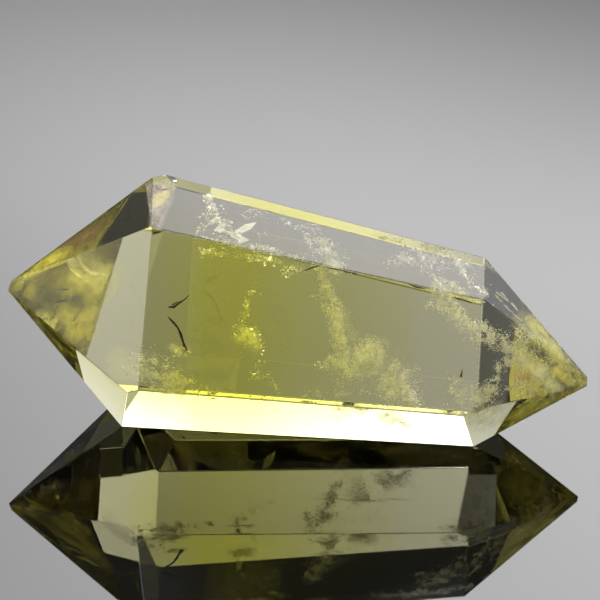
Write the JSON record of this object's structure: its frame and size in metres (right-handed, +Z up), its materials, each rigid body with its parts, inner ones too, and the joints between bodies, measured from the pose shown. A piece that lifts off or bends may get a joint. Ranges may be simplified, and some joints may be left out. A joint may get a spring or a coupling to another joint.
{
  "type": "double-terminated citrine point",
  "caption": "Polished, see-through citrine point with a faceted pyramid at each end, lying on one long face.",
  "frame": {"origin": "below the middle of the stone's bounding box, on the surface that it rests on", "axes": "+X along the stone towards its narrow end, +Z up, -Y towards the broad front face"},
  "size_m": [0.0598, 0.023, 0.0246],
  "materials": {
    "citrine": "hand-polished see-through quartz, pale olive yellow, with veils and fine cracks inside"
  },
  "bodies": {
    "root": {"crystal": "citrine"}
  },
  "joints": []
}
